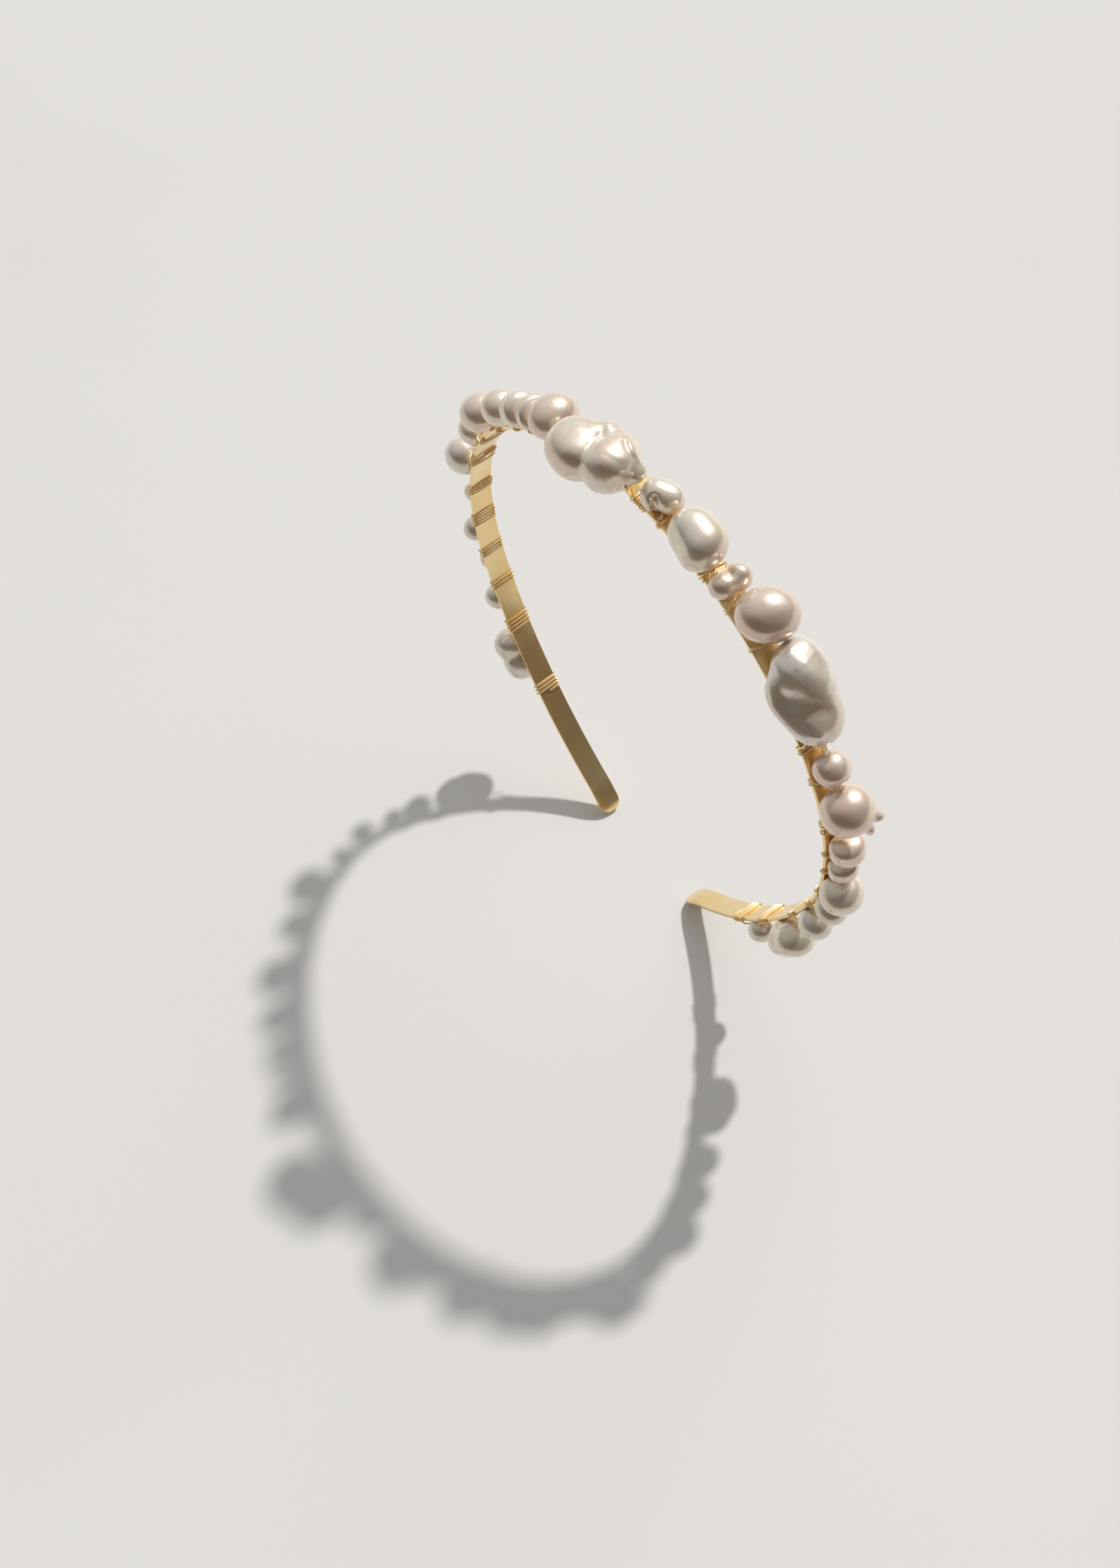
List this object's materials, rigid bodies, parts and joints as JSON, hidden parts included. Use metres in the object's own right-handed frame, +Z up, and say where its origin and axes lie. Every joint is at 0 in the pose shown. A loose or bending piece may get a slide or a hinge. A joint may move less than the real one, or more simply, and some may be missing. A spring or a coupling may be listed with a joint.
{
  "type": "pearl headband",
  "caption": "Springy brass strip headband with drilled freshwater pearls of many shapes laced along its outer face by fine gold-coloured wire.",
  "frame": {"origin": "middle of the strip's inner face at the crown, where the band rests on the head", "axes": "+X towards the arm drawn as the right one, +Y across the strip to the back edge, where the wire enters the pearls, and +Z up, away from the head"},
  "size_m": [0.1461, 0.0221, 0.1563],
  "materials": {
    "brass_strip": "polished, with fine handling scratches",
    "lacing_wire": "bright drawn wire",
    "pearl_ivory": "pearly lustre on ivory",
    "pearl_rose": "pearly lustre on ivory with a rose tone",
    "pearl_grey": "pearly lustre on ivory with a grey-green tone"
  },
  "bodies": {
    "root": {"strip_band": "brass_strip", "pearl_left_13_baroque": "pearl_grey", "pearl_left_12_round": "pearl_grey", "pearl_left_11_seed": "pearl_ivory", "pearl_left_10_drop": "pearl_grey", "pearl_left_09_seed": "pearl_ivory", "pearl_left_08_oval": "pearl_grey", "pearl_left_07_drop": "pearl_ivory", "pearl_left_06_round": "pearl_rose", "pearl_left_05_round": "pearl_ivory", "pearl_left_04_button": "pearl_ivory", "pearl_left_03_button": "pearl_ivory", "pearl_left_02_oval": "pearl_rose", "pearl_left_01_twin": "pearl_ivory", "pearl_right_01_notched": "pearl_ivory", "pearl_right_02_egg": "pearl_ivory", "pearl_right_03_drop": "pearl_rose", "pearl_right_04_oval": "pearl_rose", "pearl_right_05_folded": "pearl_grey", "pearl_right_06_round": "pearl_rose", "pearl_right_07_cusped": "pearl_rose", "pearl_right_08_button": "pearl_rose", "pearl_right_09_button": "pearl_rose", "pearl_right_10_round": "pearl_ivory", "pearl_right_11_drop": "pearl_grey", "pearl_right_12_round": "pearl_grey", "pearl_right_13_baroque": "pearl_ivory", "pearl_right_14_round": "pearl_grey", "wire_lacing_1": "lacing_wire", "wire_lacing_2": "lacing_wire", "wire_lacing_3": "lacing_wire", "wire_lacing_4": "lacing_wire"}
  },
  "joints": []
}
